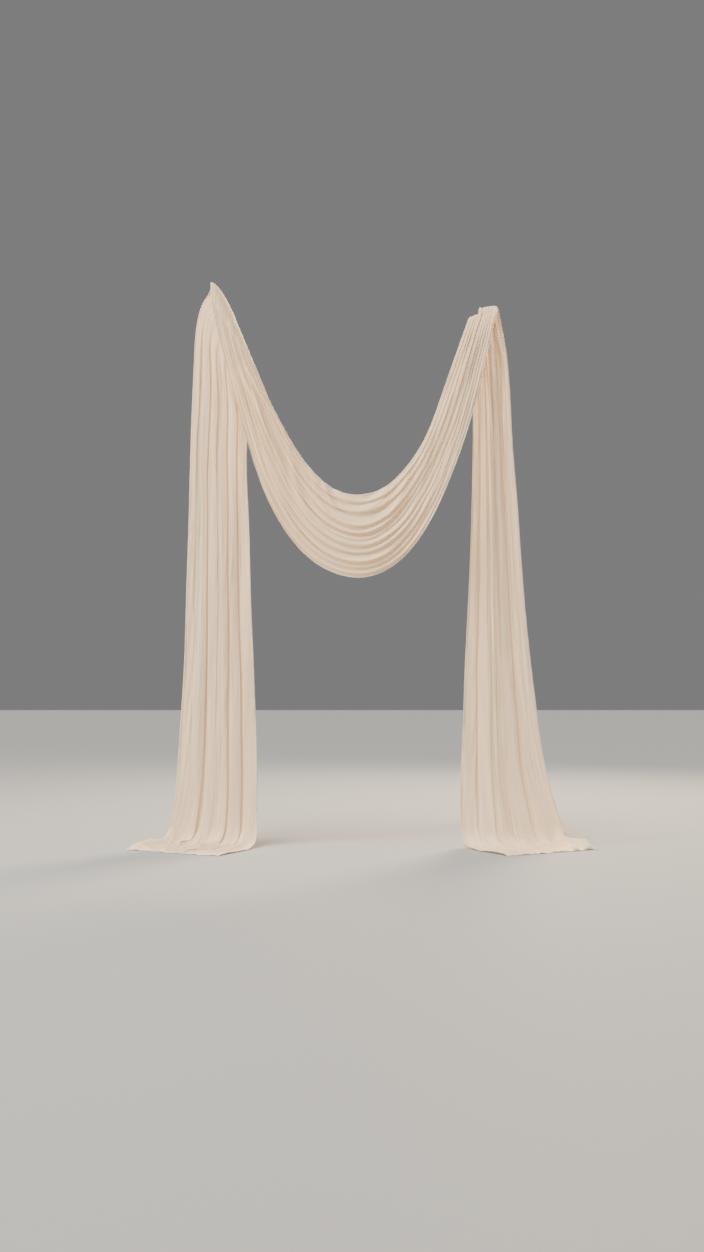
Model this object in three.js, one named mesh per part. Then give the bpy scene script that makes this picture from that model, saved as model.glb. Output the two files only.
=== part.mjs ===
// A wedding drape: one long chiffon cloth slung over two raised supports, with a cowl swag between
// them, a pleated tail behind each support and a train spread on the ground at each end.
// Millimetres, +Z up, +X to the right along the swag, +Y to the back. The origin is on the flat
// facet where the cloth sits on the left support.
import * as THREE from "three";

// Driving dimensions of the cloth
const CLOTH_WIDTH = 1140;
const PLEATS = 8;
const SHEET = 6;
const HEM_WIDTH = 25;
const HEM_THICKNESS = 8;
const SHALLOWEST_PLEAT = 10;
const SEATED_PLEAT = 30;
const GAP = 0.3;

// One pleat across the cloth: a valley, then a flat-topped ridge between two flanks
const FLANK = 0.3;
const RIDGE = 0.4;

// The supports that carry the cloth. A crest is the top line of a support, from the outer edge of the
// cloth (a) to its inner edge (b). Slip is how far the cloth slides down along the support before
// and behind it, where 1 falls plumb.
const LIMBS = {
  left: {
    radius: 150,
    crest: { a: [-1590, 0, 5958], b: [-1163, 0, 5165] },
    slip: { front: 1.34, back: 0.27 },
  },
  right: {
    radius: 110,
    crest: { a: [1453, 0, 5726], b: [1126, 0, 5579] },
    slip: { front: 2.2, back: 0.5 },
  },
};
// Angles run round a support from its top, positive to the back.
const FRONT_ANGLE = 70;
const BACK_ANGLE = 90;
const SEAT_STEP = 20;

// How a rib of the cloth is held: it hangs free, is pressed on a support or lies on the ground
const HUNG = 0;
const SEATED = 1;
const LAID = -1;

// Depth of the cloth behind and before the supports' own plane
const BEHIND = 192;
const BEFORE = -198;

// Ribs run across the cloth from its outer edge a to its inner edge b, at x, y, z.
const LEFT_TRAIN_RIBS = [
  { a: [-2480, -60, 0], b: [-1450, -540, 0], hold: LAID },
  { a: [-2345, 40, 0], b: [-1320, -320, 0], hold: LAID },
  { a: [-2195, 125, 0], b: [-1190, -90, 0], hold: LAID },
  { a: [-2090, 178, 75], b: [-1128, 85, 60], hold: LAID / 2 },
];
const LEFT_TAIL_RIBS = [
  { a: [-2035, 188, 255], b: [-1116, 165, 250], hold: HUNG },
  { a: [-1989, 190, 640], b: [-1115, 180, 640], hold: HUNG },
  { a: [-1943, 190, 1300], b: [-1132, 187, 1300], hold: HUNG },
  { a: [-1904, 190, 1900], b: [-1153, 190, 1900], hold: HUNG },
  { a: [-1878, BEHIND, 2700], b: [-1186, BEHIND, 2700], hold: HUNG },
  { a: [-1851, BEHIND, 3500], b: [-1208, BEHIND, 3450], hold: HUNG },
  { a: [-1826, BEHIND, 4450], b: [-1231, BEHIND, 4180], hold: HUNG },
  { a: [-1790, BEHIND, 5270], b: [-1257, BEHIND, 4700], hold: HUNG },
];
const SWAG_RIBS = [
  { a: [-1374, BEFORE, 4927], b: [-925, BEFORE, 4604], hold: HUNG },
  { a: [-1135, BEFORE, 4070], b: [-689, -215, 4170], hold: HUNG },
  { a: [-846, -195, 3396], b: [-423, -232, 3841], hold: HUNG },
  { a: [-444, -190, 2959], b: [-198, -245, 3706], hold: HUNG },
  { a: [0, -190, 2836], b: [0, -250, 3685], hold: HUNG },
  { a: [352, -190, 2979], b: [193, -245, 3740], hold: HUNG },
  { a: [686, -195, 3386], b: [419, -232, 3930], hold: HUNG },
  { a: [960, BEFORE, 3985], b: [650, -215, 4277], hold: HUNG },
  { a: [1179, -180, 4669], b: [854, -180, 4816], hold: HUNG },
  { a: [1324, -160, 5276], b: [994, -160, 5217], hold: HUNG },
];
const RIGHT_TAIL_RIBS = [
  { a: [1554, 155, 5200], b: [1180, 155, 5000], hold: HUNG },
  { a: [1599, 168, 4505], b: [1186, 168, 4400], hold: HUNG },
  { a: [1660, 180, 3700], b: [1173, 180, 3600], hold: HUNG },
  { a: [1731, 188, 2750], b: [1141, 188, 2700], hold: HUNG },
  { a: [1817, 190, 1900], b: [1102, 190, 1900], hold: HUNG },
  { a: [1893, 190, 1300], b: [1080, 187, 1300], hold: HUNG },
  { a: [2000, 190, 700], b: [1054, 180, 640], hold: HUNG },
  { a: [2122, 188, 270], b: [1052, 165, 250], hold: HUNG },
];
const RIGHT_TRAIN_RIBS = [
  { a: [2188, 178, 75], b: [1078, 85, 60], hold: LAID / 2 },
  { a: [2262, 125, 0], b: [1160, -90, 0], hold: LAID },
  { a: [2372, 40, 0], b: [1300, -320, 0], hold: LAID },
  { a: [2483, -60, 0], b: [1440, -540, 0], hold: LAID },
];

const vector = ([x, y, z]) => new THREE.Vector3(x, y, z);

// The two directions of a support at its crest: along, from edge a to edge b, and up from its axis
function limbAxes(crest) {
  const along = vector(crest.b).sub(vector(crest.a)).normalize();
  const side = new THREE.Vector3(0, 1, 0);
  const up = new THREE.Vector3().crossVectors(along, side);
  if (up.z < 0) up.negate();
  return { along, up, side };
}

// The rib of the cloth at an angle round its support. Every rib is parallel to the support, so the
// inner face between two ribs is one flat facet.
function seatRib({ radius, crest, slip }, degrees) {
  const { along, up, side } = limbAxes(crest);
  const angle = THREE.MathUtils.degToRad(degrees);
  const drop = 1 - Math.cos(angle);
  const plumb = Math.abs(up.x / along.x) * radius * drop;
  const facetRadius = radius / Math.cos(THREE.MathUtils.degToRad(SEAT_STEP / 2));
  const shift = up.clone().multiplyScalar(facetRadius * Math.cos(angle) - radius);
  shift.addScaledVector(side, facetRadius * Math.sin(angle));
  shift.addScaledVector(along, plumb * (degrees < 0 ? slip.front : slip.back));
  const moved = (edge) => vector(crest[edge]).add(shift).toArray();
  const out = up.clone().multiplyScalar(Math.cos(angle)).addScaledVector(side, Math.sin(angle));
  return { a: moved("a"), b: moved("b"), hold: SEATED, out };
}

// Ribs round a support, from the back of it over the top to the front
function seatRibs(limb) {
  const ribs = [];
  for (let angle = BACK_ANGLE; angle >= -FRONT_ANGLE; angle -= SEAT_STEP)
    ribs.push(seatRib(limb, angle));
  return ribs;
}

// The edges of a run of ribs as smooth curves, read by the number of the rib
class Run {
  constructor(ribs) {
    const curve = (edge) => new THREE.CatmullRomCurve3(ribs.map((r) => vector(r[edge])));
    this.last = ribs.length - 1;
    this.ribs = ribs;
    this.edges = { a: curve("a"), b: curve("b") };
    for (const edge of Object.values(this.edges)) {
      edge.curveType = "catmullrom";
      edge.tension = 0.5;
    }
  }

  edge(name, at) {
    const point = this.edges[name].getPoint(at / this.last);
    point.z = Math.max(0, point.z);
    return point;
  }

  hold(at) {
    const before = Math.min(Math.floor(at), this.last - 1);
    const share = at - before;
    return this.ribs[before].hold * (1 - share) + this.ribs[before + 1].hold * share;
  }

  // The direction out of the support of the seated rib nearest to a place
  seatOut(at) {
    const seated = at * 2 < this.last ? this.ribs[0] : this.ribs[this.last];
    return seated.out ?? new THREE.Vector3();
  }

  // The rib at a place: its edges, and the direction out of the cloth, away from the supports
  rib(at) {
    const step = 0.02;
    const [low, high] = [Math.max(0, at - step), Math.min(this.last, at + step)];
    const middle = (t) => this.edge("a", t).lerp(this.edge("b", t), 0.5);
    const travel = middle(high).sub(middle(low));
    const [a, b] = [this.edge("a", at), this.edge("b", at)];
    const across = b.clone().sub(a);
    const hold = this.hold(at);
    const out = new THREE.Vector3().crossVectors(travel, across).normalize();
    out.lerp(this.seatOut(at), Math.max(0, hold)).normalize();
    return { a, b, out, hold, chord: across.length() };
  }
}

// Straight facets between the ribs round a support, so no smoothing is read between them
class SeatRun extends Run {
  edge(name, at) {
    const before = Math.min(Math.floor(at), this.last - 1);
    const ends = [before, before + 1].map((i) => vector(this.ribs[i][name]));
    return ends[0].lerp(ends[1], at - before);
  }

  seatOut(at) {
    return this.ribs[Math.round(at)].out;
  }
}

// How deep the pleats fold where the cloth's full width is gathered into the rib's chord
function pleatDepth(rib) {
  const pitch = rib.chord / PLEATS;
  const flank = (CLOTH_WIDTH / PLEATS - RIDGE * pitch) / 2;
  const deep = Math.sqrt(Math.max(0, flank ** 2 - (FLANK * pitch) ** 2));
  const seated = Math.max(0, rib.hold);
  return Math.max(SHALLOWEST_PLEAT, deep * (1 - seated) + SEATED_PLEAT * seated);
}

// Height of the pleats' wave at u across the cloth, 0 in a valley and 1 on a ridge
function wave(u) {
  const phase = (u * PLEATS) % 1;
  if (phase < FLANK) return phase / FLANK;
  return phase <= FLANK + RIDGE ? 1 : (1 - phase) / FLANK;
}

// The two faces of the cloth at u across a rib. Hung cloth folds to both sides, seated cloth
// keeps its inner face on the support and laid cloth keeps its outer face on the ground.
function facesAt(rib, u, thickness) {
  const fold = pleatDepth(rib) * wave(u);
  const hung = 1 - Math.abs(rib.hold);
  const centre = fold - pleatDepth(rib) / 2;
  const seated = Math.max(0, rib.hold) * (thickness + fold);
  const laid = Math.max(0, -rib.hold) * (thickness + fold);
  const base = rib.a.clone().lerp(rib.b, u);
  return {
    inner: base.clone().addScaledVector(rib.out, hung * (centre - thickness / 2) - laid),
    outer: base.clone().addScaledVector(rib.out, hung * (centre + thickness / 2) + seated),
  };
}

// Places across the cloth where its section turns, between two limits
function turnsBetween(from, to) {
  const turns = [from];
  for (let pleat = 0; pleat < PLEATS; pleat++)
    for (const phase of [0, FLANK, FLANK + RIDGE]) {
      const u = (pleat + phase) / PLEATS;
      if (u > from + GAP / CLOTH_WIDTH && u < to - GAP / CLOTH_WIDTH) turns.push(u);
    }
  return [...turns, to];
}

// A closed solid from rows of matching inner and outer points
function closedSheet(rows) {
  const [height, width] = [rows.length, rows[0].length];
  const points = rows.flat().flatMap(({ inner, outer }) => [...inner.toArray(), ...outer.toArray()]);
  const index = [];
  const vertex = (i, j, outer) => 2 * (i * width + j) + (outer ? 1 : 0);
  const quad = (p, q, r, s) => index.push(p, q, r, p, r, s);
  for (let i = 0; i + 1 < height; i++)
    for (let j = 0; j + 1 < width; j++) {
      quad(vertex(i, j, 1), vertex(i + 1, j, 1), vertex(i + 1, j + 1, 1), vertex(i, j + 1, 1));
      quad(vertex(i, j, 0), vertex(i, j + 1, 0), vertex(i + 1, j + 1, 0), vertex(i + 1, j, 0));
    }
  const wall = (i, j, k, l) =>
    quad(vertex(i, j, 0), vertex(k, l, 0), vertex(k, l, 1), vertex(i, j, 1));
  const right = width - 1;
  for (let i = 0; i + 1 < height; i++) {
    wall(i, 0, i + 1, 0);
    quad(vertex(i, right, 0), vertex(i, right, 1), vertex(i + 1, right, 1), vertex(i + 1, right, 0));
  }
  for (let j = 0; j + 1 < width; j++) {
    wall(0, j + 1, 0, j);
    wall(height - 1, j, height - 1, j + 1);
  }
  const geometry = new THREE.BufferGeometry();
  geometry.setAttribute("position", new THREE.Float32BufferAttribute(points, 3));
  geometry.setIndex(index);
  geometry.computeVertexNormals();
  return geometry;
}

const CLOTH = { color: 0xe6d8c8, roughness: 0.82, metalness: 0 };
const STITCHED = { color: 0xdccbb8, roughness: 0.86, metalness: 0 };
const HEM_SHARE = HEM_WIDTH / CLOTH_WIDTH;
const SEAM_SHARE = 0.0012;
const FULL = [0, 1];
const BETWEEN_HEMS = [HEM_SHARE + SEAM_SHARE, 1 - HEM_SHARE - SEAM_SHARE];
const OUTER_HEM = [0, HEM_SHARE];
const INNER_HEM = [1 - HEM_SHARE, 1];

// A stretch of the cloth along a run, over a part of its width. Its ends stop half a gap short,
// so that it meets the next stretch without touching it.
function stretch(name, run, places, [from, to], thickness, finish) {
  const width = turnsBetween(from, to);
  const ribs = places.map((at) => run.rib(at));
  trimEnd(ribs[0], ribs[1]);
  trimEnd(ribs.at(-1), ribs.at(-2));
  const rows = ribs.map((rib) => width.map((u) => facesAt(rib, u, thickness)));
  const mesh = new THREE.Mesh(closedSheet(rows), new THREE.MeshStandardMaterial(finish));
  mesh.name = name;
  return mesh;
}

// Moves an end rib half a gap towards the next one
function trimEnd(rib, next) {
  for (const edge of ["a", "b"]) {
    const inward = next[edge].clone().sub(rib[edge]).normalize();
    rib[edge].addScaledVector(inward, GAP / 2);
  }
}

// Evenly spaced places from one rib number to another
function spread(from, to, rows) {
  return Array.from({ length: rows + 1 }, (_, i) => from + ((to - from) * i) / rows);
}

const leftSeat = seatRibs(LIMBS.left);
const rightSeat = seatRibs(LIMBS.right).reverse();
const leftTail = new Run([...LEFT_TRAIN_RIBS, ...LEFT_TAIL_RIBS, leftSeat[0]]);
const swag = new Run([leftSeat.at(-1), ...SWAG_RIBS, rightSeat[0]]);
const rightTail = new Run([rightSeat.at(-1), ...RIGHT_TAIL_RIBS, ...RIGHT_TRAIN_RIBS]);
const limbRuns = { left: new SeatRun(leftSeat), right: new SeatRun(rightSeat) };

// Where each stretch starts and ends, by rib number, and its rows
const END_HEM_SPAN = 0.12;
const FOOT = LEFT_TRAIN_RIBS.length;
const TAIL_CUTS = {
  lower: [FOOT, FOOT + 3, 5],
  middle: [FOOT + 3, FOOT + 5.5, 4],
  upper: [FOOT + 5.5, FOOT + LEFT_TAIL_RIBS.length, 5],
};
const SWAG_CUTS = {
  swag_left_leg: [0, 2, 6],
  swag_left_bend: [2, 4, 5],
  swag_belly: [4, 6, 5],
  swag_right_bend: [6, 8, 5],
  swag_right_leg: [8, 11, 7],
};

// A tail of the cloth with its train: rib numbers count from the end hem upwards
function tailPieces(side, run, place) {
  const spans = Object.entries(TAIL_CUTS);
  const rows = (from, to, count) => spread(from, to, count).map(place).sort((p, q) => p - q);
  const sheets = spans.map(([part, [from, to, count]]) =>
    stretch(`${side}_tail_${part}`, run, rows(from, to, count), BETWEEN_HEMS, SHEET, CLOTH),
  );
  const whole = [...new Set(spans.flatMap(([, [from, to, count]]) => rows(from, to, count)))];
  whole.sort((p, q) => p - q);
  return [
    stretch(`${side}_end_hem`, run, rows(0, END_HEM_SPAN, 1), FULL, HEM_THICKNESS, STITCHED),
    stretch(`${side}_train`, run, rows(END_HEM_SPAN, FOOT, 8), FULL, SHEET, CLOTH),
    ...sheets,
    stretch(`${side}_tail_outer_hem`, run, whole, OUTER_HEM, HEM_THICKNESS, STITCHED),
    stretch(`${side}_tail_inner_hem`, run, whole, INNER_HEM, HEM_THICKNESS, STITCHED),
  ];
}

// The saddle that a support carries
function saddle(side) {
  const run = limbRuns[side];
  return stretch(`${side}_limb_saddle`, run, spread(0, run.last, run.last), FULL, SHEET, CLOTH);
}

// The swag between the supports, with a hem along its upper and lower edge
function swagPieces() {
  const cuts = Object.entries(SWAG_CUTS);
  const sheets = cuts.map(([name, [from, to, count]]) =>
    stretch(name, swag, spread(from, to, count), BETWEEN_HEMS, SHEET, CLOTH),
  );
  const whole = [...new Set(cuts.flatMap(([, [from, to, count]]) => spread(from, to, count)))];
  return [
    ...sheets,
    stretch("swag_lower_hem", swag, whole, OUTER_HEM, HEM_THICKNESS, STITCHED),
    stretch("swag_upper_hem", swag, whole, INNER_HEM, HEM_THICKNESS, STITCHED),
  ];
}

// The middle of the crest facet on the left support, where the part's origin lies
const { crest: leftCrest } = LIMBS.left;
const LEFT_SEAT_CENTRE = vector(leftCrest.a).lerp(vector(leftCrest.b), 0.5);

const drape = new THREE.Group();
drape.name = "limb_drape";
drape.position.copy(LEFT_SEAT_CENTRE).negate();
drape.add(
  ...tailPieces("left", leftTail, (at) => at),
  saddle("left"),
  ...swagPieces(),
  saddle("right"),
  ...tailPieces("right", rightTail, (at) => rightTail.last - at),
);

export default drape;
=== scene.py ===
"""Looks of the wedding drape: one long chiffon cloth slung over two raised supports.

A cowl swag hangs between the supports, a tail hangs behind each and a train lies on the ground at
each end. The whole cloth is worked out as one grid, with rows along its length and columns across
its width. It is then cut along two hidden rows into three sheets, so that none is too heavy.
"""
import logging
from dataclasses import dataclass
from enum import Enum
from typing import Any, Callable, Iterable, NamedTuple, Optional, Sequence, Union

import bpy
import numpy as np
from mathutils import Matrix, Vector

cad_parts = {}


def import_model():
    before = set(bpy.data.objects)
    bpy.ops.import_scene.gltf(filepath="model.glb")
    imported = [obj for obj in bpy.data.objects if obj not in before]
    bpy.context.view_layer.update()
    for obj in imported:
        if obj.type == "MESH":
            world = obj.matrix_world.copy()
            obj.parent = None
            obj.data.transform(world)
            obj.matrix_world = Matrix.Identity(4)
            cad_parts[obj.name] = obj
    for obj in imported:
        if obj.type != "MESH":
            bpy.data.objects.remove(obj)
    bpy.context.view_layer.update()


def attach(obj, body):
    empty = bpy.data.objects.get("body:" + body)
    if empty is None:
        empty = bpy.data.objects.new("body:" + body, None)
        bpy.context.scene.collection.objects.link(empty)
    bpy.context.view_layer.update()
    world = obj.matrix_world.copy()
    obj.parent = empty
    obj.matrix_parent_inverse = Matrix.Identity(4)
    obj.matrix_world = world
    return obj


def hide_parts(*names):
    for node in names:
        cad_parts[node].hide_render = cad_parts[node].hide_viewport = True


LOG = logging.getLogger("drape")
MM = 0.001
# The frame's origin is the middle of the left seat, at this place in the plan below.
SEAT_CENTRE = np.array((-1376.5, 0.0, 5561.5)) * MM
GROUND = -float(SEAT_CENTRE[2])
BODY = "root"
FULL_TURN = 2 * np.pi

# Ribs of the cloth as in the part's source: outer edge x, y, z, then inner edge x, y, z, in
# millimetres from the point on the ground below the middle of the swag. Rib numbers run on through
# the whole cloth: 0 to 3 left train, 4 to 11 left tail, 12 to 20 round the left support, 21 to 30
# swag, 31 to 39 round the right support, 40 to 47 right tail and 48 to 51 right train.
LEFT_TRAIN_RIBS = (
    (-2480, -60, 0, -1450, -540, 0),
    (-2345, 40, 0, -1320, -320, 0),
    (-2195, 125, 0, -1190, -90, 0),
    (-2090, 178, 75, -1128, 85, 60),
)
LEFT_TAIL_RIBS = (
    (-2035, 188, 255, -1116, 165, 250),
    (-1989, 190, 640, -1115, 180, 640),
    (-1943, 190, 1300, -1132, 187, 1300),
    (-1904, 190, 1900, -1153, 190, 1900),
    (-1878, 192, 2700, -1186, 192, 2700),
    (-1851, 192, 3500, -1208, 192, 3450),
    (-1826, 192, 4450, -1231, 192, 4180),
    (-1790, 192, 5270, -1257, 192, 4700),
)
SWAG_RIBS = (
    (-1374, -198, 4927, -925, -198, 4604),
    (-1135, -198, 4070, -689, -215, 4170),
    (-846, -195, 3396, -423, -232, 3841),
    (-444, -190, 2959, -198, -245, 3706),
    (0, -190, 2836, 0, -250, 3685),
    (352, -190, 2979, 193, -245, 3740),
    (686, -195, 3386, 419, -232, 3930),
    (960, -198, 3985, 650, -215, 4277),
    (1179, -180, 4669, 854, -180, 4816),
    (1324, -160, 5276, 994, -160, 5217),
)
RIGHT_TAIL_RIBS = (
    (1554, 155, 5200, 1180, 155, 5000),
    (1599, 168, 4505, 1186, 168, 4400),
    (1660, 180, 3700, 1173, 180, 3600),
    (1731, 188, 2750, 1141, 188, 2700),
    (1817, 190, 1900, 1102, 190, 1900),
    (1893, 190, 1300, 1080, 187, 1300),
    (2000, 190, 700, 1054, 180, 640),
    (2122, 188, 270, 1052, 165, 250),
)
RIGHT_TRAIN_RIBS = (
    (2188, 178, 75, 1078, 85, 60),
    (2262, 125, 0, 1160, -90, 0),
    (2372, 40, 0, 1300, -320, 0),
    (2483, -60, 0, 1440, -540, 0),
)


class Hold(Enum):
    """How a rib of the cloth is held."""

    LAID = -1.0
    HUNG = 0.0
    SEATED = 1.0


def smooth_step(low: float, high: float, at: np.ndarray) -> np.ndarray:
    """Rises from 0 at low to 1 at high along 3 u squared minus 2 u cubed."""
    u = np.clip((at - low) / (high - low), 0.0, 1.0)
    return u * u * (3.0 - 2.0 * u)


def soft_floor(values: np.ndarray, softness: float) -> np.ndarray:
    """Keeps values above 0 with a rounded corner: softness times log(1 + exp(value / softness))."""
    return softness * np.logaddexp(0.0, values / softness)


def bell(away: np.ndarray) -> np.ndarray:
    """1 in the middle, falling off to both sides as exp(-away squared)."""
    return np.exp(-away * away)


def unit(vectors: np.ndarray) -> np.ndarray:
    """Each vector divided by its length."""
    return vectors / np.maximum(np.linalg.norm(vectors, axis=-1, keepdims=True), 1e-12)


def natural_spline(knots: np.ndarray, values: np.ndarray, at: np.ndarray) -> np.ndarray:
    """Reads the smooth curve through points whose second derivative is 0 at both ends.

    The second derivatives m solve h0 m0 + 2 (h0 + h1) m1 + h1 m2 = 6 (slope1 - slope0) at each
    inner knot, and each span is the cubic with those second derivatives at its ends.

    Args:
        knots: Rising places of the points, n of them.
        values: One row of coordinates for each knot.
        at: Places to read.

    Returns:
        One row of coordinates for each place.
    """
    step = np.diff(knots)
    slope = np.diff(values, axis=0) / step[:, None]
    count = len(knots)
    system = np.eye(count)
    inner = np.arange(1, count - 1)
    system[inner, inner - 1] = step[:-1]
    system[inner, inner] = 2 * (step[:-1] + step[1:])
    system[inner, inner + 1] = step[1:]
    right = np.zeros_like(values)
    right[1:-1] = 6 * np.diff(slope, axis=0)
    bend = np.linalg.solve(system, right)
    span = np.clip(np.searchsorted(knots, at, side="right") - 1, 0, count - 2)
    width = step[span][:, None]
    after = (at - knots[span])[:, None]
    before = width - after
    curved = (bend[span] * before**3 + bend[span + 1] * after**3) / (6 * width)
    left = (values[span] / width - bend[span] * width / 6) * before
    return curved + left + (values[span + 1] / width - bend[span + 1] * width / 6) * after


def eased(places: Sequence[float], values: np.ndarray, at: np.ndarray) -> np.ndarray:
    """Reads values given at rising places, with each span eased at both ends.

    Args:
        places: Rising places.
        values: One row for each quantity, one column for each place.
        at: Where to read.

    Returns:
        One row for each quantity, one column for each place read.
    """
    places = np.array(places)
    span = np.clip(np.searchsorted(places, at, side="right") - 1, 0, len(places) - 2)
    share = smooth_step(0.0, 1.0, (at - places[span]) / (places[span + 1] - places[span]))
    return values[:, span] + (values[:, span + 1] - values[:, span]) * share


@dataclass(frozen=True)
class Profile:
    """A value that changes along the cloth, given at rising rib numbers and eased between."""

    ribs: tuple[float, ...]
    values: tuple[float, ...]

    def at(self, rib: np.ndarray) -> np.ndarray:
        """Reads the value at each row's rib number."""
        return eased(self.ribs, np.array([self.values]), rib)[0]


@dataclass(frozen=True)
class Ripples:
    """Smooth seeded noise over the cloth: a sum of slow waves of random direction and phase.

    Attributes:
        seed, count: Seed of the draw and number of waves.
        along, across: Shortest wave along and across the cloth, in metres.
        height: Height of most crests, in metres where nothing else is said.
    """

    seed: int
    count: int
    along: float
    across: float
    height: float = 1.0

    def at(self, along: np.ndarray, across: np.ndarray) -> np.ndarray:
        """Draws the waves and reads their sum.

        Args:
            along: Metres along the cloth, one for each row.
            across: Metres across the cloth, one for each row and column.

        Returns:
            One value for each row and column.
        """
        longest, spread = 2.6, 1.6
        rng = np.random.default_rng(self.seed)
        rates = FULL_TURN / (self.along * rng.uniform(1.0, longest, self.count))
        rates *= rng.choice((-1.0, 1.0), self.count)
        slants = FULL_TURN / (self.across * rng.uniform(1.0, longest, self.count))
        phases = rng.uniform(0, FULL_TURN, self.count)
        total = np.zeros(across.shape)
        for rate, slant, phase in zip(rates, slants, phases):
            total += np.sin(rate * along[:, None] + slant * across + phase)
        return self.height * (total / np.sqrt(self.count / 2) / spread)


@dataclass(frozen=True)
class Support:
    """A raised round support under the cloth.

    Attributes:
        radius: Its radius, in metres.
        crest: Its top line from the cloth's outer edge to its inner edge, in plan millimetres.
        slip_front, slip_back: How far the cloth slides down along it, where 1 falls plumb.
        lead: How far the swag pulls the inner edge on along x before it, in metres.
        angles, step: First, last and spacing of the ribs, in degrees from its top to the back.
    """

    radius: float
    crest: tuple[float, ...]
    slip_front: float
    slip_back: float
    lead: float = 0.0
    angles: tuple[float, float] = (90.0, -70.0)
    step: float = 20.0

    def ribs(self) -> np.ndarray:
        """Works out the ribs round the support, from its back over its top to its front.

        A rib at an angle is the crest moved by radius times (cos angle - 1) up from the support,
        by radius times sin angle to the back and, along it, by the plumb fall times the slip.

        Returns:
            Outer and inner edge of each rib, in metres.
        """
        ends = np.array(self.crest).reshape(2, 3) * MM
        along = unit(ends[1] - ends[0])
        up = np.cross(along, (0.0, 1.0, 0.0))
        up = up if up[2] > 0 else -up
        first, last = self.angles
        angle = np.radians(np.arange(first, last - 1, -self.step))
        drop = 1 - np.cos(angle)
        slip = np.where(angle < 0, self.slip_front, self.slip_back)
        fall = abs(up[0] / along[0]) * self.radius * drop * slip
        shift = -up * (self.radius * drop)[:, None] + along * fall[:, None]
        shift[:, 1] += self.radius * np.sin(angle)
        ribs = ends[None] + shift[:, None]
        ribs[:, 1, 0] += np.where(angle < 0, self.lead * drop / drop[-1], 0.0)
        return ribs


class Run(Enum):
    """A stretch of the cloth in which the folds have places of their own."""

    LEFT = "left"
    LEG = "leg"
    BELLY = "belly"
    RIGHT = "right"


@dataclass(frozen=True)
class FoldLine:
    """One fold that runs the whole length of the cloth.

    At a fold the cloth runs back over itself in a flat Z. A turn above 0 steps out from the
    supports as the width is crossed from the outer edge, and one below 0 steps in. Places are
    shares of the width from the outer edge, which is the swag's lower one.

    Attributes:
        left, right: Place and turn in the tails.
        leg: Place and turn in the swag's legs and over the supports.
        belly: Place and turn in the middle of the swag.
        spread: How much of the spare cloth it takes, next to the others.
    """

    left: tuple[float, float]
    leg: tuple[float, float]
    belly: tuple[float, float]
    right: tuple[float, float]
    spread: float = 1.0


FOLD_LINES = (
    FoldLine((0.130, 0.08), (0.060, 0.55), (0.045, 0.60), (0.085, 0.08), 0.7),
    FoldLine((0.215, -0.08), (0.150, 0.30), (0.100, 0.80), (0.150, -0.08), 0.7),
    FoldLine((0.300, 1.00), (0.240, 0.80), (0.190, 0.95), (0.235, 1.00), 1.0),
    FoldLine((0.355, -1.00), (0.330, 0.45), (0.300, 0.90), (0.300, -1.00), 1.0),
    FoldLine((0.470, 0.08), (0.430, 0.70), (0.375, 0.85), (0.470, 1.00), 1.0),
    FoldLine((0.540, -0.08), (0.520, 0.35), (0.450, 0.30), (0.545, -0.10), 0.7),
    FoldLine((0.615, 0.80), (0.600, 1.00), (0.525, 1.00), (0.590, 0.10), 1.3),
    FoldLine((0.665, -0.80), (0.700, 0.60), (0.605, 0.90), (0.650, -1.00), 1.0),
    FoldLine((0.785, 0.90), (0.810, 0.85), (0.790, 0.90), (0.790, 0.55), 1.0),
    FoldLine((0.840, -0.90), (0.905, 0.40), (0.890, 0.60), (0.830, -0.55), 1.0),
)


@dataclass(frozen=True)
class Track:
    """How the folds' places or turns change along the cloth.

    Attributes:
        field: 0 for the places, 1 for the turns.
        keys: Rib number, run whose values hold there, and a share that they are lowered to.
        waves: Height, radians a metre and steps out of phase from fold to fold, of slow waves.
        phase: Radians in a step.
    """

    field: int
    keys: tuple[tuple[float, Run, float], ...]
    waves: tuple[tuple[float, float, float], ...]
    phase: float = 2.3

    def keyed(self, rib: np.ndarray) -> np.ndarray:
        """Reads the values of all folds.

        Args:
            rib: Rib number of each row of the cloth.

        Returns:
            One row for each fold.
        """
        values = [
            [getattr(line, run.value)[self.field] * share for _, run, share in self.keys]
            for line in FOLD_LINES
        ]
        return eased([place for place, _, _ in self.keys], np.array(values), rib)

    def waver(self, metres: np.ndarray) -> np.ndarray:
        """Reads the slow waves of all folds, one row for each, at places along the cloth."""
        phase = np.arange(len(FOLD_LINES))[:, None] * self.phase
        return sum(high * np.sin(metres * rate + steps * phase) for high, rate, steps in self.waves)


PLACES = Track(
    0,
    (
        (9.5, Run.LEFT, 1.0), (16.0, Run.LEG, 1.0), (22.0, Run.LEG, 1.0), (25.0, Run.BELLY, 1.0),
        (28.0, Run.LEG, 1.0), (34.0, Run.LEG, 1.0), (42.0, Run.RIGHT, 1.0),
    ),
    ((0.008, 1.3, 1.0), (0.004, 3.7, 3.0)),
)
TURNS = Track(
    1,
    (
        (1.0, Run.LEFT, 0.32), (5.0, Run.LEFT, 0.8), (8.5, Run.LEFT, 1.0), (14.0, Run.LEG, 1.0),
        (21.8, Run.LEG, 1.0), (24.0, Run.BELLY, 1.0), (26.0, Run.BELLY, 1.0), (28.2, Run.LEG, 1.0),
        (37.0, Run.LEG, 1.0), (42.5, Run.RIGHT, 1.0), (46.0, Run.RIGHT, 0.9),
        (50.0, Run.RIGHT, 0.36),
    ),
    ((0.16, 1.7, 1.0), (0.10, 4.1, 2.0)),
)


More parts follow.
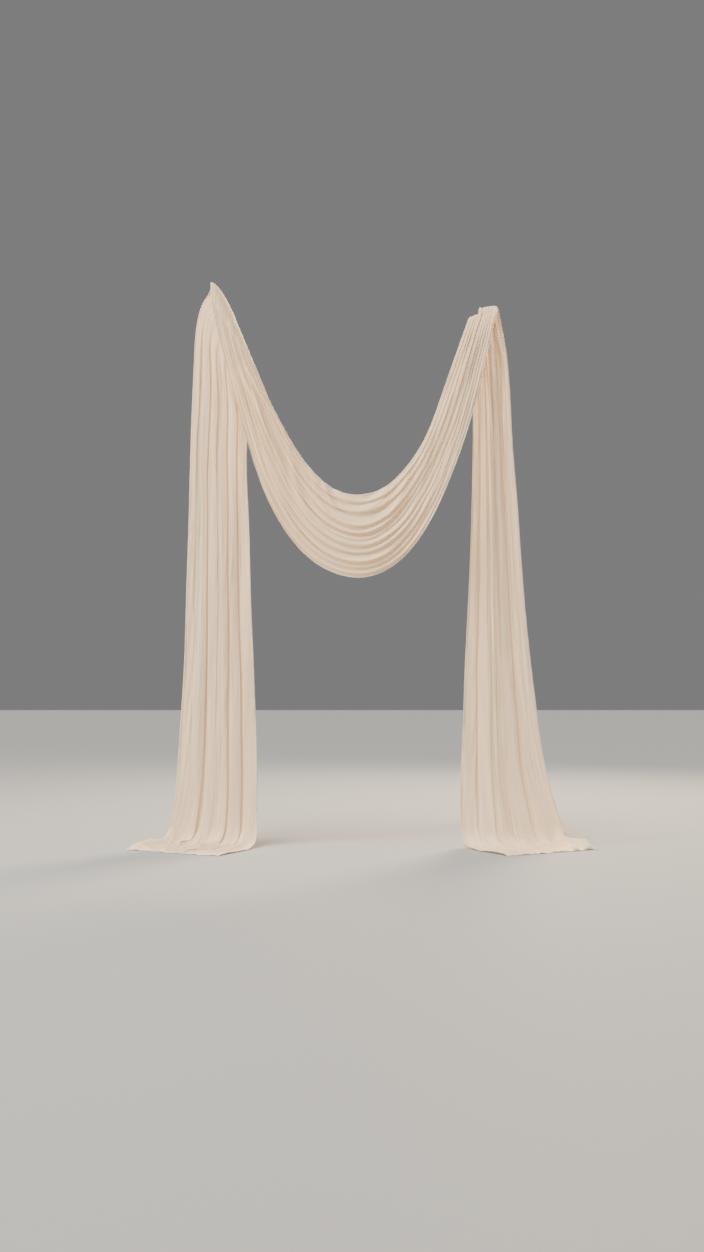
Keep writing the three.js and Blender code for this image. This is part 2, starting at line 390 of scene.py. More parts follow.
@dataclass(frozen=True)
class FoldRules:
    """How the spare cloth of a row is shared among the folds, in metres and radians.

    Attributes:
        steep, full: Direction of a full strip, and the turn from which it is full.
        same_way: Share of the laps that is kept clear between folds that turn the same way.
        room: Most that the laps of a row may take up, as a share of its chord.
        curl: Softness of the curls at both ends of a strip.
    """

    steep: float = 3.0
    full: float = 0.4
    least_spare: float = 0.004
    least_gap: float = 0.012
    same_way: float = 0.35
    softness: float = 0.004
    room: Profile = Profile((10.5, 13.0, 38.5, 41.0), (0.45, 1.05, 1.05, 0.45))
    curl: Profile = Profile(
        (12.0, 20.0, 24.0, 26.0, 30.0, 40.0), (0.0026, 0.0026, 0.0038, 0.0038, 0.0036, 0.0026)
    )


@dataclass(frozen=True)
class Folds:
    """All fold lines, read at each row of the cloth.

    At a fold the cloth curls over, a strip runs back under it and it curls over again.

    Attributes:
        centre: Middle of each strip in the flat cloth, in metres from the outer edge.
        turn: How sharply it turns, next to the sharpest one of the row.
        strip: Length of the strip, in metres.
        curl: Softness of the two curls at each row, in metres.
    """

    centre: np.ndarray
    turn: np.ndarray
    strip: np.ndarray
    curl: np.ndarray

    @classmethod
    def along(
        cls,
        rib: np.ndarray,
        metres: np.ndarray,
        chord: np.ndarray,
        width: float,
        rules: FoldRules,
    ) -> "Folds":
        """Shares the spare cloth of each row among the folds and keeps the folds apart.

        A strip of length s that turns by a takes up s (1 - cos a) and laps over s (-cos a). The
        laps of a row together stay below a share of its chord. Gaps between folds that turn
        opposite ways stay wider than their laps.

        Args:
            rib: Rib number of each row.
            metres: Place of each row along the cloth.
            chord: Width of the folded cloth at each row.
            width: Width of the flat cloth.
            rules: How the spare cloth is shared.

        Returns:
            The folds of every row.
        """
        shows = PLACES.keyed(rib) + PLACES.waver(metres)
        turn = TURNS.keyed(rib) * (1 + TURNS.waver(metres))
        turn = turn / np.abs(turn).max(axis=0)
        spare = np.maximum(width - chord, rules.least_spare)
        spread = np.array([line.spread for line in FOLD_LINES])[:, None] * np.abs(turn)
        turn = np.sign(turn) * np.sqrt(np.clip(np.abs(turn) / rules.full, 0, 1))
        gained = 1 - np.cos(rules.steep * np.abs(turn))
        back = np.clip(gained - 1, 0, None)
        most = rules.room.at(rib) * chord / np.maximum((spread * back).sum(axis=0), 1e-6)
        strip = spread * np.minimum(spare / (spread * gained).sum(axis=0), most)
        takes, laps = strip * gained, strip * back
        edges = np.concatenate([np.zeros((1, len(rib))), shows, np.ones((1, len(rib)))])
        open_width = width - takes.sum(axis=0)
        wanted = np.diff(edges, axis=0) * open_width
        opposed = np.where(turn[1:] * turn[:-1] < 0, 1.0, rules.same_way)
        least = np.full_like(wanted, rules.least_gap)
        least[1:-1] += 0.5 * (laps[1:] + laps[:-1]) * opposed
        gaps = least + soft_floor(wanted - least, rules.softness)
        gaps = gaps * open_width / gaps.sum(axis=0)
        before = np.cumsum(takes, axis=0) - 0.5 * takes
        centre = np.cumsum(gaps, axis=0)[:-1] + before
        return cls(centre, turn, strip, rules.curl.at(rib))

    def spaced(self, low: float, high: float, counts: tuple[int, int]) -> np.ndarray:
        """Spaces the columns of each row, close together where the cloth curls.

        Each strip and each flat band between strips has its own columns, so that a column stays at
        its place next to the folds. Their places are u - crowd sin(2 pi u) / (2 pi) of the way.

        Args:
            low: First place across the cloth.
            high: Last place.
            counts: Spaces between columns in a flat band and in a strip.

        Returns:
            Places in metres, one row for each row of the cloth.
        """
        crowd, least_strip, margin, nudge = 0.78, 0.006, 0.004, 0.0004
        folds, count = self.centre.shape
        half = 0.5 * np.maximum(self.strip, least_strip)
        ends = np.stack([self.centre - half, self.centre + half], axis=1).reshape(-1, count)
        ends = np.maximum.accumulate(np.clip(ends, low + margin, high - margin), axis=0)
        ends = ends + nudge * np.arange(-folds, folds)[:, None]
        ends = np.concatenate([np.full((1, count), low), ends, np.full((1, count), high)])
        parts = []
        for number, (start, stop) in enumerate(zip(ends[:-1], ends[1:])):
            spaces = counts[number % 2]
            share = np.arange(spaces) / spaces
            share = share - crowd * np.sin(FULL_TURN * share) / FULL_TURN
            parts.append(start[:, None] + (stop - start)[:, None] * share[None, :])
        return np.concatenate([*parts, np.full((count, 1), high)], axis=1)

    def bells(self, across: np.ndarray) -> np.ndarray:
        """Sums the folds' turns.

        Each turn rises along a soft step at one end of its strip and falls at the other, where a
        soft step is (1 + tanh(d / 2)) / 2.

        Args:
            across: Places of the columns across the cloth, for each row.

        Returns:
            One value for each row and column, never past 1.
        """
        total = np.zeros(across.shape)
        soft = 2 * self.curl[:, None]
        for centre, turn, strip in zip(self.centre, self.turn, self.strip):
            away = across - centre[:, None]
            half = 0.5 * strip[:, None]
            steps = np.tanh((away + half) / soft) - np.tanh((away - half) / soft)
            total += 0.5 * turn[:, None] * steps
        return total / np.maximum(np.abs(total).max(axis=1, keepdims=True), 1.0)


@dataclass(frozen=True)
class Sway:
    """How all layers sway together: loose, plumb in the tails, and less where seated."""

    loose: tuple[Ripples, ...] = (
        Ripples(5, 14, 0.70, 0.17, 0.0075),
        Ripples(7, 14, 0.50, 0.06, 0.0022),
    )
    plumb: Ripples = Ripples(8, 12, 2.40, 0.19, 0.0060)
    tails: Profile = Profile((9.5, 13.0, 39.0, 43.0), (1.0, 0.0, 0.0, 1.0))
    seated: float = 0.75


@dataclass(frozen=True)
class Corner:
    """Where an outer corner is rounded off: rib number, half its ribs, depth and reach."""

    rib: float
    span: float
    depth: float
    reach: float

    def at(self, rib: np.ndarray, away: np.ndarray) -> np.ndarray:
        """Reads the depth, at distances from the outer edge in the unit of the reach."""
        depth = self.depth * bell((rib - self.rib) / self.span)
        return depth[:, None] * np.exp(-away / self.reach)


@dataclass(frozen=True)
class Crests:
    """How far the loose cloth stands off the two crests, in metres and shares of the row.

    Attributes:
        first, ribs: First rib of each crest, and the ribs in a crest.
        bulge, skew, fade: Height of the left bulge, and how it leans to the outer edge.
        step, step_rise, step_drop: Height of the right step, where it rises and where it drops.
        corner_in, corner_down: How the right crest's outer corner is drawn in and lowered.
    """

    first: tuple[float, float] = (12.5, 31.5)
    ribs: float = 7.5
    bulge: float = 0.068
    skew: float = 0.6
    fade: float = 0.4
    step: float = 0.058
    step_rise: float = 0.62
    step_drop: tuple[float, float] = (0.58, 0.70)
    corner_in: Corner = Corner(33.9, 1.9, 0.052, 0.085)
    corner_down: Corner = Corner(33.8, 1.7, 0.034, 0.16)


@dataclass(frozen=True)
class Hollow:
    """A hollow that runs down the right tail, with its place and half width as shares."""

    depth: float = 0.045
    place: float = 0.60
    half: float = 0.13
    ribs: tuple[float, float] = (38.5, 42.0)


@dataclass(frozen=True)
class Swell:
    """A soft ridge of cloth that runs along a train, where the cloth lies in loose folds.

    Attributes:
        share: Its place across the cloth, as a share of the width from the outer edge.
        half: Half its width, as a share of the width.
        left: Height in metres at the left train's end, in its middle and at its foot.
        right: The same for the right train.
        drift: How far it wanders across on the way, as a share of the width.
    """

    share: float
    half: float
    left: tuple[float, float, float]
    right: tuple[float, float, float]
    drift: float

    def place(self, metres: np.ndarray) -> np.ndarray:
        """Its place across the cloth at each row, which wanders once in about two metres."""
        rate, phase = 3.1, 40.0
        return self.share + self.drift * np.sin(metres * rate + phase * self.share)

    def height(self, rib: np.ndarray) -> np.ndarray:
        """Its height at each row's rib number, which is 0 between the two feet."""
        ribs = (0.0, 1.6, 3.2, 5.2, 45.8, 47.8, 49.4, 51.0)
        return Profile(ribs, (*self.left, 0.0, 0.0, *self.right[::-1])).at(rib)


@dataclass(frozen=True)
class Trains:
    """How the cloth lies on the ground, in metres where nothing else is said.

    Attributes:
        swells, lean: Loose ridges, and their wander across the cloth as a share of its width.
        piled, pulled: Wrinkles across and along the train, each with the lowest that it goes.
        creased: Noise that is creased where it passes 0.
        crease: Height of a crease, half its width in that noise, and power of its flanks.
        laid_ridges, laid_wrinkles: How far the cloth must be laid for them to be full.
        edge, end: Where ridges fade out, as a share of the width and as a distance from the end.
        lifted, wander: How the end edge lifts and wanders along the cloth, each with its reach.
        flare: How far the outer edge flares out, at what height, and half the flare's height.
        flare_fade, flare_ribs: Share of the width, and ribs from each end, that flare.
    """

    swells: tuple[Swell, ...] = (
        Swell(0.060, 0.052, (0.034, 0.086, 0.104), (0.062, 0.104, 0.104), 0.006),
        Swell(0.235, 0.052, (0.022, 0.050, 0.030), (0.040, 0.060, 0.035), -0.025),
        Swell(0.385, 0.045, (0.034, 0.030, 0.020), (0.022, 0.034, 0.020), 0.030),
        Swell(0.530, 0.050, (0.016, 0.042, 0.028), (0.030, 0.046, 0.024), -0.030),
        Swell(0.690, 0.040, (0.030, 0.026, 0.018), (0.018, 0.030, 0.020), 0.025),
        Swell(0.860, 0.050, (0.020, 0.040, 0.022), (0.026, 0.036, 0.022), -0.020),
    )
    lean: Ripples = Ripples(23, 6, 0.35, 0.9, 0.02)
    piled: tuple[Ripples, float] = (Ripples(21, 10, 0.10, 0.28, 0.006), -0.0012)
    pulled: tuple[Ripples, float] = (Ripples(22, 10, 0.42, 0.10, 0.007), -0.0021)
    creased: Ripples = Ripples(24, 9, 0.60, 0.17)
    crease: tuple[float, float, float] = (0.018, 0.5, 1.4)
    laid_ridges: float = 0.45
    laid_wrinkles: float = 0.9
    edge: float = 0.014
    end: float = 0.024
    lifted: tuple[Ripples, float] = (Ripples(25, 7, 2.0, 0.10, 0.007), 0.08)
    wander: tuple[Ripples, float] = (Ripples(26, 7, 2.0, 0.16, 0.020), 0.20)
    flare: tuple[float, float, float] = (0.026, 0.19, 0.12)
    flare_fade: float = 1 / 2.2
    flare_ribs: float = 5.5


@dataclass(frozen=True)
class Weave:
    """Fine lines along the chiffon and flutter near its edges, and the share lost where held."""

    fine: Ripples = Ripples(31, 26, 0.9, 0.020, 0.0008)
    broad: Ripples = Ripples(32, 18, 0.6, 0.045, 0.0014)
    flutter: Ripples = Ripples(33, 9, 0.11, 0.6, 0.0022)
    reach: float = 0.03
    pressed: float = 0.6


@dataclass(frozen=True)
class ClothPlan:
    """The cloth as cut, how finely it is drawn and how it is folded, in metres.

    Attributes:
        width, hem: Width of the cloth from selvedge to selvedge, and of its side hems.
        columns: Spaces between columns in each flat band and in each folded strip.
        hem_columns: Columns in each hem.
        row_hung, row_seated, row_laid: Row spacing where it hangs, on a support, on the ground.
        widest: Widest row, as a share of the width.
        sharpest, waver: Sharpest turn of a fold, and waver of the folded line, in radians.
        flatness, seated_flatness, laid_flatness: Share of the folds' height that is kept.
        pressed, skin: Softness on what holds the cloth, and height and softness on the ground.
    """

    width: float = 1.143
    hem: float = 0.018
    columns: tuple[int, int] = (15, 13)
    hem_columns: int = 4
    row_hung: float = 0.024
    row_seated: float = 0.0125
    row_laid: float = 0.016
    widest: float = 0.978
    sharpest: float = 3.12
    waver: Ripples = Ripples(6, 14, 0.30, 0.07, 0.02)
    flatness: Profile = Profile(
        (8.5, 13.0, 21.5, 24.0, 25.7, 27.8, 38.0, 43.0),
        (1.35, 0.85, 0.85, 1.30, 1.30, 0.32, 0.32, 1.35),
    )
    seated_flatness: float = 0.26
    laid_flatness: float = 0.45
    pressed: float = 0.003
    skin: tuple[float, float] = (0.0012, 0.0022)

    def places(self, folds: Folds) -> np.ndarray:
        """Places the columns of each row, with those of the hems.

        Args:
            folds: The folds of every row.

        Returns:
            Metres from the outer edge, one row for each row of the cloth.
        """
        middle = folds.spaced(self.hem, self.width - self.hem, self.columns)
        hem = np.linspace(0.0, self.hem, self.hem_columns + 1)
        hem = np.broadcast_to(hem, (len(middle), len(hem)))
        return np.concatenate([hem[:, :-1], middle, self.width - hem[:, -2::-1]], axis=1)


@dataclass
class Cloth:
    """The whole cloth as one grid of points, worked out from its plan and the two supports."""

    plan: ClothPlan = ClothPlan()
    rules: FoldRules = FoldRules()
    crests: Crests = Crests()
    hollow: Hollow = Hollow()
    sway: Sway = Sway()
    trains: Trains = Trains()
    weave: Weave = Weave()
    left_support: Support = Support(0.150, (-1590, 0, 5958, -1163, 0, 5165), 1.34, 0.27, 0.079)
    right_support: Support = Support(0.110, (1453, 0, 5726, 1126, 0, 5579), 2.2, 0.5)

    def __post_init__(self) -> None:
        """Works out ribs, rows, folds and points in order."""
        self._collect_ribs()
        self._place_rows()
        self._shape_section()
        self._place_points()
        self._lay_on_ground()
        self._add_streaks()
        self.normals = self.grid_normals(self.points)

    def _collect_ribs(self) -> None:
        """Joins the ribs of all runs and marks how each is held."""
        def run(rows: Sequence[Sequence[float]]) -> np.ndarray:
            """Outer and inner edge of each rib of a table, in metres."""
            return np.array(rows, float).reshape(-1, 2, 3) * MM

        runs = (
            (run(LEFT_TRAIN_RIBS), Hold.LAID),
            (run(LEFT_TAIL_RIBS), Hold.HUNG),
            (self.left_support.ribs(), Hold.SEATED),
            (run(SWAG_RIBS), Hold.HUNG),
            (self.right_support.ribs()[::-1], Hold.SEATED),
            (run(RIGHT_TAIL_RIBS), Hold.HUNG),
            (run(RIGHT_TRAIN_RIBS), Hold.LAID),
        )
        self.ribs = np.concatenate([ribs for ribs, _ in runs]) - SEAT_CENTRE
        self.hold = np.concatenate([np.full(len(ribs), hold.value) for ribs, hold in runs])
        starts = np.concatenate([[0], np.cumsum([len(ribs) for ribs, _ in runs])])
        feet = [starts[1] - 1, starts[6]]
        self.hold[feet] *= 0.5
        self.back_tangents = (int(starts[2]), int(starts[5]) - 1)
        steps = np.linalg.norm(np.diff(self.ribs.mean(axis=1), axis=0), axis=1)
        self.knots = np.concatenate([[0], np.cumsum(steps)])
        self.length = float(self.knots[-1])

    def _place_rows(self) -> None:
        """Spaces the rows along the cloth: close on the supports and the ground, else wider.

        The row number is the integral of one over the wanted spacing, so equal steps of it give
        the rows. The two tangent rows behind the supports are kept as rows of their own.
        """
        samples, smoothed, near_seat, near_ground = 6000, 40, 2.5, 3.0
        fine = np.linspace(0, self.length, samples)
        hold = np.interp(fine, self.knots, self.hold)
        plan = self.plan
        seated, laid = np.clip(near_seat * hold, 0, 1), np.clip(-near_ground * hold, 0, 1)
        spacing = plan.row_hung + (plan.row_seated - plan.row_hung) * seated
        spacing = spacing + (plan.row_laid - plan.row_hung) * laid
        window = np.ones(2 * smoothed + 1) / (2 * smoothed + 1)
        spacing = np.convolve(np.pad(spacing, smoothed, mode="edge"), window, mode="valid")
        steps = np.diff(fine) / (0.5 * (spacing[1:] + spacing[:-1]))
        number = np.concatenate([[0], np.cumsum(steps)])
        count = int(round(number[-1]))
        rows = np.interp(np.linspace(0, number[-1], count + 1), number, fine)
        self.cuts = []
        for rib in self.back_tangents:
            nearest = int(np.argmin(np.abs(rows - self.knots[rib])))
            rows[nearest] = self.knots[rib]
            self.cuts.append(nearest)
        self.rows = rows
        self.rib_number = np.interp(rows, self.knots, np.arange(len(self.knots)))
        edges = natural_spline(self.knots, self.ribs.reshape(-1, 6), rows)
        self.outer, self.inner = edges[:, :3], edges[:, 3:]
        held = eased(self.knots, self.hold[None], rows)[0]
        self.seated, self.laid = np.clip(held, 0, 1), np.clip(-held, 0, 1)

    def _noise(self, ripples: Ripples) -> np.ndarray:
        """Noise at each row and column of the flat cloth."""
        return ripples.at(self.rows, self.across)

    def _shape_section(self) -> None:
        """Folds the cloth across each row without stretching it.

        The direction of the section at u is A times the sum of the folds' bells, plus a slow
        waver. Its running sum of cosines and sines is the folded line. A is found by halving, so
        that the line's ends are as far apart as the rib is long, and the line is then turned so
        that its ends lie level. The outer corner of the right crest is drawn in, and all layers
        sway together out of their row, nearly plumb in the tails.
        """
        plan, rib, halvings = self.plan, self.rib_number, 26
        gap = np.linalg.norm(self.inner - self.outer, axis=1)
        chord = np.minimum(gap, plan.widest * plan.width)
        folds = Folds.along(rib, self.rows, chord, plan.width, self.rules)
        self.across = plan.places(folds)
        self.shares = self.across / plan.width
        bells = folds.bells(self.across)
        waver = self._noise(plan.waver)
        low, high = np.zeros(len(rib)), np.full(len(rib), plan.sharpest)
        for _ in range(halvings):
            middle = (low + high) / 2
            x, y = self._fold(middle, bells, waver)
            longer = np.hypot(x[:, -1], y[:, -1]) > chord
            low, high = np.where(longer, middle, low), np.where(longer, high, middle)
        self.sharpness = (low + high) / 2
        x, y = self._fold(self.sharpness, bells, waver)
        tilt = np.arctan2(y[:, -1], x[:, -1])[:, None]
        level_x = x * np.cos(tilt) + y * np.sin(tilt)
        level_y = -x * np.sin(tilt) + y * np.cos(tilt)
        self.drawn_in = chord / level_x[:, -1]
        self.section_x = level_x * self.drawn_in[:, None] + ((gap - chord) / 2)[:, None]
        self.section_x += self.crests.corner_in.at(rib, self.section_x)
        sway = sum(noise.at(self.rows, self.section_x) for noise in self.sway.loose)
        plumb = self.sway.plumb.at(self.rows, self.section_x)
        sway += (plumb - sway) * self.sway.tails.at(rib)[:, None]
        free = 1 - self.sway.seated * self.seated - self.laid
        self.section_y = self._settle(level_y) + free[:, None] * sway

    def _fold(
        self, sharp: np.ndarray, bells: np.ndarray, waver: np.ndarray
    ) -> tuple[np.ndarray, np.ndarray]:
        """Runs the folded line of each row.

        Args:
            sharp: A of each row.
            bells: Sum of the folds' bells.
            waver: Slow waver of the direction.

        Returns:
            Places along and out from the row, in metres, starting at 0.
        """
        turn = sharp[:, None] * bells + waver
        step = np.diff(self.across, axis=1)
        parts = []
        for wave in (np.cos(turn), np.sin(turn)):
            run = np.cumsum(0.5 * (wave[:, 1:] + wave[:, :-1]) * step, axis=1)
            parts.append(np.concatenate([np.zeros((len(turn), 1)), run], axis=1))
        return parts[0], parts[1]

    def _settle(self, level: np.ndarray) -> np.ndarray:
        """Places the folds about the row: centred where hung, on what holds them where held.

        Held folds are pressed flatter, and their lowest point is found as a soft minimum.

        Args:
            level: Height of the folds out from the row.

        Returns:
            Height of the folds out from the row, positive away from the supports.
        """
        plan, hollow, keen = self.plan, self.hollow, 160.0
        seated, laid = self.seated[:, None], self.laid[:, None]
        centred = level - level.mean(axis=1, keepdims=True)
        lowest = -np.log(np.mean(np.exp(-keen * centred), axis=1, keepdims=True)) / keen
        highest = np.log(np.mean(np.exp(keen * centred), axis=1, keepdims=True)) / keen
        on_support = soft_floor(plan.seated_flatness * (centred - lowest), plan.pressed)
        on_ground = -soft_floor(plan.laid_flatness * (highest - centred), plan.pressed)
        tail = smooth_step(*hollow.ribs, self.rib_number)[:, None]
        dent = hollow.depth * bell((self.shares - hollow.place) / hollow.half) * tail
        hung = centred * plan.flatness.at(self.rib_number)[:, None] - dent
        settled = hung * (1 - seated - laid) + on_support * seated + on_ground * laid
        return settled + self._bulge()

    def _bulge(self) -> np.ndarray:
        """Height by which the loose cloth stands off the crests of the supports.

        With u the place along the row, the left bulge is sin(pi u to the power skew) times
        (1 - fade u). The right one rises evenly along u and drops in a soft step, and its outer
        corner is lowered. Round the support both are half a sine.

        Returns:
            Metres, for each row and column.
        """
        crests, rib = self.crests, self.rib_number
        share = np.clip(self.section_x / self.section_x[:, -1:], 0, 1)
        left, right = (
            np.sin(np.pi * np.clip((rib - first) / crests.ribs, 0, 1))[:, None]
            for first in crests.first
        )
        rounded = np.sin(np.pi * share**crests.skew) * (1 - crests.fade * share) * left
        dropped = smooth_step(*crests.step_drop, share)
        stepped = share / crests.step_rise * (1 - dropped) * right
        lowered = crests.corner_down.at(rib, share)
        return crests.bulge * rounded + crests.step * stepped - lowered

    def _place_points(self) -> None:
        """Lays the folded sections on their rows.

        A point is the outer edge, plus its place along the row, plus its height along the normal,
        which is the cross product of the cloth's travel and the row.
        """
        middle = 0.5 * (self.outer + self.inner)
        self.travel = unit(np.gradient(middle, self.rows, axis=0))
        across = unit(self.inner - self.outer)
        out = unit(np.cross(self.travel, across))
        self.points = (
            self.outer[:, None]
            + across[:, None] * self.section_x[..., None]
            + out[:, None] * self.section_y[..., None]
        )

    def _lay_on_ground(self) -> None:
        """Keeps the trains on the ground, with loose ridges, wrinkles and a free end edge.

        The outer edge and the end come down to the ground within a few centimetres. The end edge
        lifts here and there and wanders along the cloth. Just above the ground the outer edge
        flares out along x.
        """
        trains, last = self.trains, len(self.knots) - 1
        from_end = np.minimum(self.rows, self.length - self.rows)[:, None]
        end = 1 - bell(from_end / trains.end)
        lifts, fade = trains.lifted
        lifted = np.maximum(self._noise(lifts), 0.0) * np.exp(-from_end / fade)
        self.points[..., 2] += (self._wrinkles() + self._ridges()) * end + lifted
        side = np.where(self.rib_number > 0.5 * (last + 1), 1.0, -1.0)[:, None]
        moves, reach = trains.wander
        wander = self._noise(moves) * bell(from_end / reach)
        self.points += (side * self.travel)[:, None] * wander[..., None]
        out, level, half = trains.flare
        near_end = np.minimum(self.rib_number, last - self.rib_number) < trains.flare_ribs
        flare = out * bell((self.points[..., 2] - GROUND - level) / half) * near_end[:, None]
        flare = flare * np.clip(1 - self.shares / trains.flare_fade, 0, 1) ** 2
        self.points[..., 0] += side * flare
        height, softness = self.plan.skin
        floor = GROUND + height
        self.points[..., 2] = floor + soft_floor(self.points[..., 2] - floor, softness)

    def _wrinkles(self) -> np.ndarray:
        """Works out the low soft wrinkles and the creases of the trains.

        Returns:
            Height in metres, for each row and column.
        """
        trains = self.trains
        height, half, power = trains.crease
        rise = height * np.clip(1 - np.abs(self._noise(trains.creased)) / half, 0, 1) ** power
        for ripples, lowest in (trains.piled, trains.pulled):
            rise += np.maximum(self._noise(ripples), lowest)
        return smooth_step(0.0, trains.laid_wrinkles, self.laid)[:, None] * rise

    def _ridges(self) -> np.ndarray:
        """Works out the loose ridges of the trains.

        A ridge is its height times exp(-d squared), with d the distance from its line over its
        half width.

        Returns:
            Height in metres, for each row and column.
        """
        trains = self.trains
        places = self.shares + self._noise(trains.lean)
        ridges = np.zeros_like(places)
        for swell in trains.swells:
            away = (places - swell.place(self.rows)[:, None]) / swell.half
            ridges += swell.height(self.rib_number)[:, None] * bell(away)
        edge = 1 - bell(self.shares / trains.edge)
        return smooth_step(0.0, trains.laid_ridges, self.laid)[:, None] * ridges * edge

    def _add_streaks(self) -> None:
        """Adds the fine lines that run along chiffon, and a slight flutter at its edges."""
        weave = self.weave
        edge = np.minimum(self.across, self.plan.width - self.across)
        height = self._noise(weave.fine) + self._noise(weave.broad)
        height += np.exp(-edge / weave.reach) * self._noise(weave.flutter)
        height *= (1 - weave.pressed * (self.seated + self.laid))[:, None]
        self.points = self.points + self.grid_normals(self.points) * height[..., None]
        self.points[..., 2] = np.maximum(self.points[..., 2], GROUND + 0.8 * MM)

    def grid_normals(self, points: np.ndarray) -> np.ndarray:
        """Normals of the grid, out from the supports: the cross product of its two slopes."""
        return unit(np.cross(np.gradient(points, axis=0), np.gradient(points, axis=1)))


def add_object(name: str, data: bpy.types.ID) -> bpy.types.Object:
    """Adds an object to the scene.

    Args:
        name: Its name.
        data: Its mesh, light or camera.

    Returns:
        The object, at the origin.
    """
    added = bpy.data.objects.new(name, data)
    bpy.context.scene.collection.objects.link(added)
    return added


class Hanging(Enum):
    DRAPED = "draped"
    HUNG = "hung"


def grid_mesh(
    name: str,
    points: np.ndarray,
    across: np.ndarray,
    along: np.ndarray,
    normals: Optional[np.ndarray] = None,
    closed: bool = False,
) -> bpy.types.Object:
    """Makes an object from a grid of points.

    Args:
        name: Name of the piece.
        points: Rows of points.
        across: Metres across the cloth of each point, for the pattern map.
        along: Metres along the cloth of each point.
        normals: Normals of the points, or None to let the mesh work them out.
        closed: Whether the last column joins the first, with a cap at each end.

    Returns:
        The new object, at the origin.
    """
    height, width = points.shape[:2]
    index = np.arange(height * width).reshape(height, width)
    start = index if closed else index[:, :-1]
    stop = np.roll(index, -1, axis=1) if closed else index[:, 1:]
    quads = np.stack([start[:-1], start[1:], stop[1:], stop[:-1]], axis=-1).reshape(-1, 4)
    caps = [index[0].tolist(), index[-1][::-1].tolist()] if closed else []
    mesh = bpy.data.meshes.new(name)
    mesh.from_pydata(points.reshape(-1, 3).tolist(), [], quads.tolist() + caps)
    mesh.polygons.foreach_set("use_smooth", np.ones(len(mesh.polygons), bool))
    spots = np.zeros(len(mesh.loops), np.int32)
    mesh.loops.foreach_get("vertex_index", spots)
    pattern = np.empty((height, width, 2), np.float32)
    pattern[..., 0] = across
    pattern[..., 1] = along
    layer = mesh.uv_layers.new(name="Cloth")
    layer.data.foreach_set("uv", pattern.reshape(-1, 2)[spots].ravel())
    if normals is not None:
        mesh.normals_split_custom_set_from_vertices(normals.reshape(-1, 3).tolist())
    mesh.update()
    return add_object(name, mesh)


Number = Union["Signal", float, int]


def math_operator(kind: str, swapped: bool = False) -> Callable[["Signal", Number], "Signal"]:
    """Makes a Python operator that adds a Math node.

    Args:
        kind: Operation of the node.
        swapped: Whether the other value comes first.

    Returns:
        The operator, as a method of Signal.
    """
    def apply(self: "Signal", other: Number) -> "Signal":
        """Adds the node for the two values."""
        first, second = (other, self) if swapped else (self, other)
        return self.bench.math(kind, first, second)

    return apply


class Signal:
    """A number socket of a material. Python's operators on it add Math nodes."""

    __add__ = math_operator("ADD")
    __radd__ = math_operator("ADD", swapped=True)
    __sub__ = math_operator("SUBTRACT")
    __rsub__ = math_operator("SUBTRACT", swapped=True)
    __mul__ = math_operator("MULTIPLY")
    __rmul__ = math_operator("MULTIPLY", swapped=True)
    __truediv__ = math_operator("DIVIDE")
    __gt__ = math_operator("GREATER_THAN")

    def __init__(self, bench: "Bench", socket: bpy.types.NodeSocket) -> None:
        """Wraps a socket of a bench's node tree."""
        self.bench = bench
        self.socket = socket

    def wrapped(self) -> "Signal":
        """Its part after the point."""
        return self.bench.math("FRACT", self, 0.0)

    def clamped(self, low: float, high: float) -> "Signal":
        """Kept between two numbers."""
        return self.bench.math("MINIMUM", self.bench.math("MAXIMUM", self, low), high)


class Grain(NamedTuple):
    """Noise of a material: grains in a metre, finer octaves and the weight of those."""

    across: float
    along: float
    detail: float
    rough: float = 0.5


